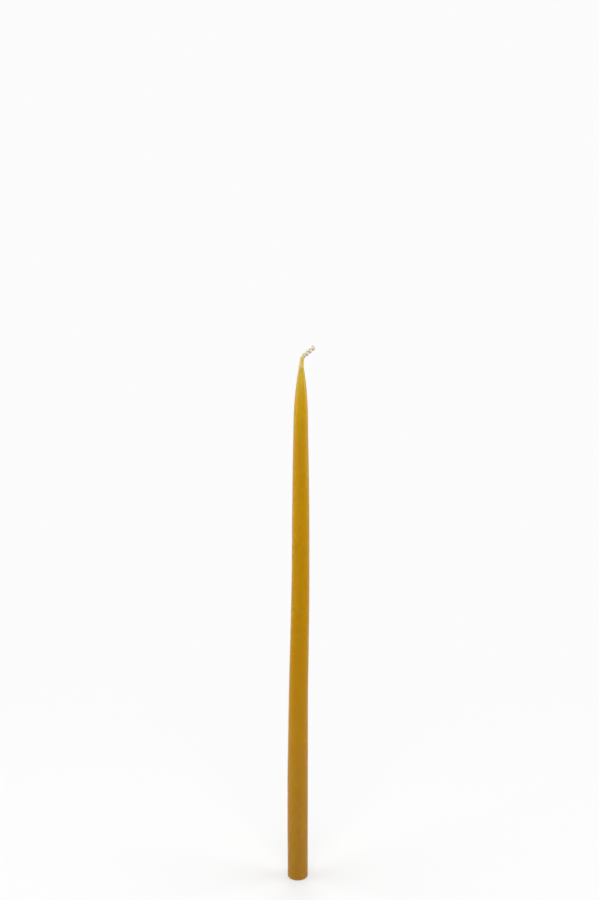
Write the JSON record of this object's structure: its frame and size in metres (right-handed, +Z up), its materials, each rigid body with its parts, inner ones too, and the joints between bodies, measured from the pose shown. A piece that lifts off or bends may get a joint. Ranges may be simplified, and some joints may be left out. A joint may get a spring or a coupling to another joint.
{
  "type": "taper candle",
  "caption": "Slim hand-dipped beeswax taper with a straight butt for a socket, a slight bow, a drawn-out tip and a plaited cotton wick bent to one side.",
  "frame": {"origin": "centre of the cut butt", "axes": "+Z up the candle from the butt to the wick, +X the way the bow and the wick lean, -Y towards the viewer of the picture"},
  "size_m": [0.0123, 0.0098, 0.2601],
  "materials": {
    "beeswax": "satin",
    "primed_wax": "satin",
    "cotton": "matte"
  },
  "bodies": {
    "root": {"wick_ply_1": "cotton", "wick_ply_2": "cotton", "wick_ply_3": "cotton", "priming_coat": "primed_wax", "dip_coat_1": "beeswax", "dip_coat_2": "beeswax", "dip_coat_3": "beeswax", "dip_coat_4": "beeswax", "dip_coat_5": "beeswax", "dip_coat_6": "beeswax", "outer_coat": "beeswax"}
  },
  "joints": []
}
